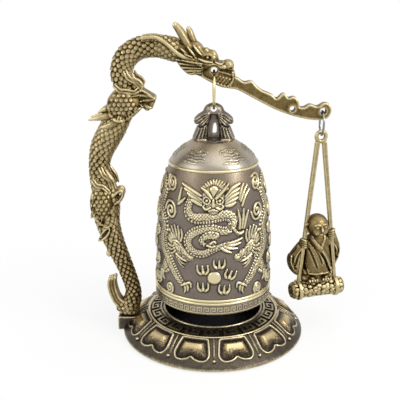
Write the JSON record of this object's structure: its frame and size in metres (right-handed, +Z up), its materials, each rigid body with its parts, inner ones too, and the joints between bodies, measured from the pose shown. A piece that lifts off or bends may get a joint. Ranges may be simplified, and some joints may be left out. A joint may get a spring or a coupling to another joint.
{
  "type": "temple bell",
  "caption": "Desktop temple bell: a lotus base carries a dragon arm, the bell hangs from its mouth by a ring, and a monk on a swinging log strikes it.",
  "frame": {"origin": "middle of the pad's underside, on the table", "axes": "+Z up, +X from the bell towards the striker, +Y to the back"},
  "size_m": [0.1061, 0.076, 0.1279],
  "materials": {
    "dark_brass": "dark antique patina, rubbed bright on the raised edges",
    "black_pad": "matt black foam",
    "antique_brass": "antique brass, dark in the recesses",
    "bell_metal": "pewter-toned ground with rubbed pale brass relief",
    "pale_brass": "bright drawn wire",
    "steel": "nickel-plated steel"
  },
  "bodies": {
    "stand": {"lotus_base": "dark_brass", "base_pad": "black_pad", "dragon_arm": "antique_brass", "arm_screw": "steel", "arm_washer": "steel"},
    "bell_ring": {"bell_ring": "pale_brass"},
    "bell": {"bell_shell": "bell_metal", "bell_crown": "bell_metal"},
    "striker_ring": {"striker_ring": "steel"},
    "striker": {"swing_frame": "antique_brass", "striker_log": "antique_brass", "monk": "antique_brass"}
  },
  "joints": [
    {"name": "bell_ring_swing", "type": "hinge", "parent": "stand", "child": "bell_ring", "pos_m": [0, 0, 0.10972], "axis": [0, 1, 0], "range_deg": [-4.7, 3.7]},
    {"name": "bell_rock", "type": "hinge", "parent": "bell_ring", "child": "bell", "pos_m": [0, 0, 0.10242], "axis": [1, 0, 0], "range_deg": [-20, 20]},
    {"name": "striker_ring_swing", "type": "hinge", "parent": "stand", "child": "striker_ring", "pos_m": [0.0426, 0, 0.09389], "axis": [0, 1, 0], "range_deg": [-60, 5.9]},
    {"name": "striker_turn", "type": "hinge", "parent": "striker_ring", "child": "striker", "pos_m": [0.0426, 0, 0.08382], "axis": [0, 0, 1], "range_deg": [-44, 16]}
  ]
}
